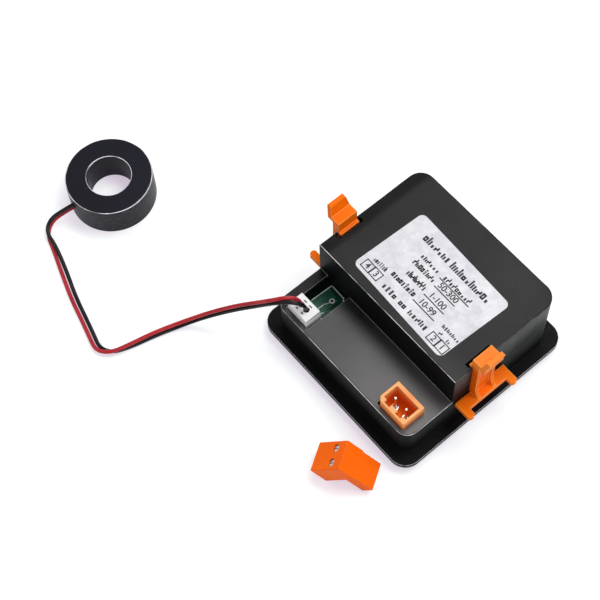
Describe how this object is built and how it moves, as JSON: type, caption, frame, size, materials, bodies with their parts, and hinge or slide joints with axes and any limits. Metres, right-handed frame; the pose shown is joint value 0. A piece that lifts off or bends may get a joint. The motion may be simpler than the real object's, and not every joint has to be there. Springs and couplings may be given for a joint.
{
  "type": "panel voltmeter and ammeter",
  "caption": "AC voltmeter and ammeter for a square panel, seen from behind, with sliding mounting clips, a ring current transformer on a twin lead and a screw terminal plug",
  "frame": {"origin": "middle of the front face of the bezel, which lies on the floor", "axes": "X along the lines of the label, Y from the connector step towards the raised box, Z out of the back"},
  "size_m": [0.1648, 0.1204, 0.0437],
  "materials": {
    "housing_black": "fine moulded texture, soft sheen",
    "bezel_black": "fine moulded texture",
    "window_smoke": "smoked clear sheet",
    "display_grey": "cast light segments in a dark body",
    "board_green": "solder mask with pale traces",
    "screw_steel": "plated",
    "film_yellow": "moulded box",
    "can_aluminium": "drawn can",
    "chip_black": "moulded",
    "varistor_blue": "dipped",
    "resistor_grey": "cement coat",
    "orange_plastic": "moulded nylon, slight gloss",
    "tinned_metal": "tin plate",
    "socket_white": "moulded nylon",
    "label_silver": "silver paper with dark print",
    "ct_black": "polished moulding",
    "potting_black": "cast resin",
    "core_steel": "wound strip",
    "winding_copper": "enamelled copper wire",
    "lead_red": "smooth insulation",
    "lead_black": "smooth insulation"
  },
  "bodies": {
    "meter": {"rear_housing": "housing_black", "front_bezel": "bezel_black", "display_window": "window_smoke", "voltage_display": "display_grey", "current_display": "display_grey", "main_board": "board_green", "board_screws": "screw_steel", "film_capacitor": "film_yellow", "input_capacitor": "can_aluminium", "output_capacitor": "can_aluminium", "bridge_rectifier": "chip_black", "varistor": "varistor_blue", "measuring_chip": "chip_black", "fusible_resistor": "resistor_grey", "power_header": "orange_plastic", "power_header_pins": "tinned_metal", "ct_socket": "socket_white", "ct_socket_pins": "tinned_metal", "ct_plug": "socket_white", "ct_plug_contacts": "tinned_metal", "rear_label": "label_silver", "ct_case": "ct_black", "ct_potting": "potting_black", "ct_core": "core_steel", "ct_winding": "winding_copper", "red_lead": "lead_red", "black_lead": "lead_black", "terminal_plug": "orange_plastic", "terminal_contacts": "tinned_metal"},
    "clip_left": {"clip_left": "orange_plastic"},
    "clip_right": {"clip_right": "orange_plastic"},
    "terminal_screw_1": {"terminal_screw_1": "screw_steel"},
    "terminal_screw_2": {"terminal_screw_2": "screw_steel"},
    "terminal_clamp_1": {"terminal_clamp_1": "tinned_metal"},
    "terminal_clamp_2": {"terminal_clamp_2": "tinned_metal"}
  },
  "joints": [
    {"name": "clip_left_slide", "type": "slide", "parent": "meter", "child": "clip_left", "axis": [0, 0, 1], "range_m": [-0.0088, 0.012]},
    {"name": "clip_right_slide", "type": "slide", "parent": "meter", "child": "clip_right", "axis": [0, 0, 1], "range_m": [-0.0088, 0.012]},
    {"name": "terminal_screw_1_turn", "type": "hinge", "parent": "meter", "child": "terminal_screw_1", "pos_m": [0.02001, -0.05271, 0.01157], "axis": [0.5868, 0.3638, -0.7234], "range_deg": [0, 640]},
    {"name": "terminal_clamp_1_slide", "type": "slide", "parent": "meter", "child": "terminal_clamp_1", "axis": [-0.5868, -0.3638, 0.7234], "range_m": [0, 0.0008]},
    {"name": "terminal_screw_2_turn", "type": "hinge", "parent": "meter", "child": "terminal_screw_2", "pos_m": [0.01733, -0.04839, 0.01157], "axis": [0.5868, 0.3638, -0.7234], "range_deg": [0, 640]},
    {"name": "terminal_clamp_2_slide", "type": "slide", "parent": "meter", "child": "terminal_clamp_2", "axis": [-0.5868, -0.3638, 0.7234], "range_m": [0, 0.0008]}
  ],
  "couplings": [
    {"joint": "terminal_screw_1_turn", "follows": "terminal_clamp_1_slide", "rad_per_m": 13963},
    {"joint": "terminal_screw_2_turn", "follows": "terminal_clamp_2_slide", "rad_per_m": 13963}
  ]
}
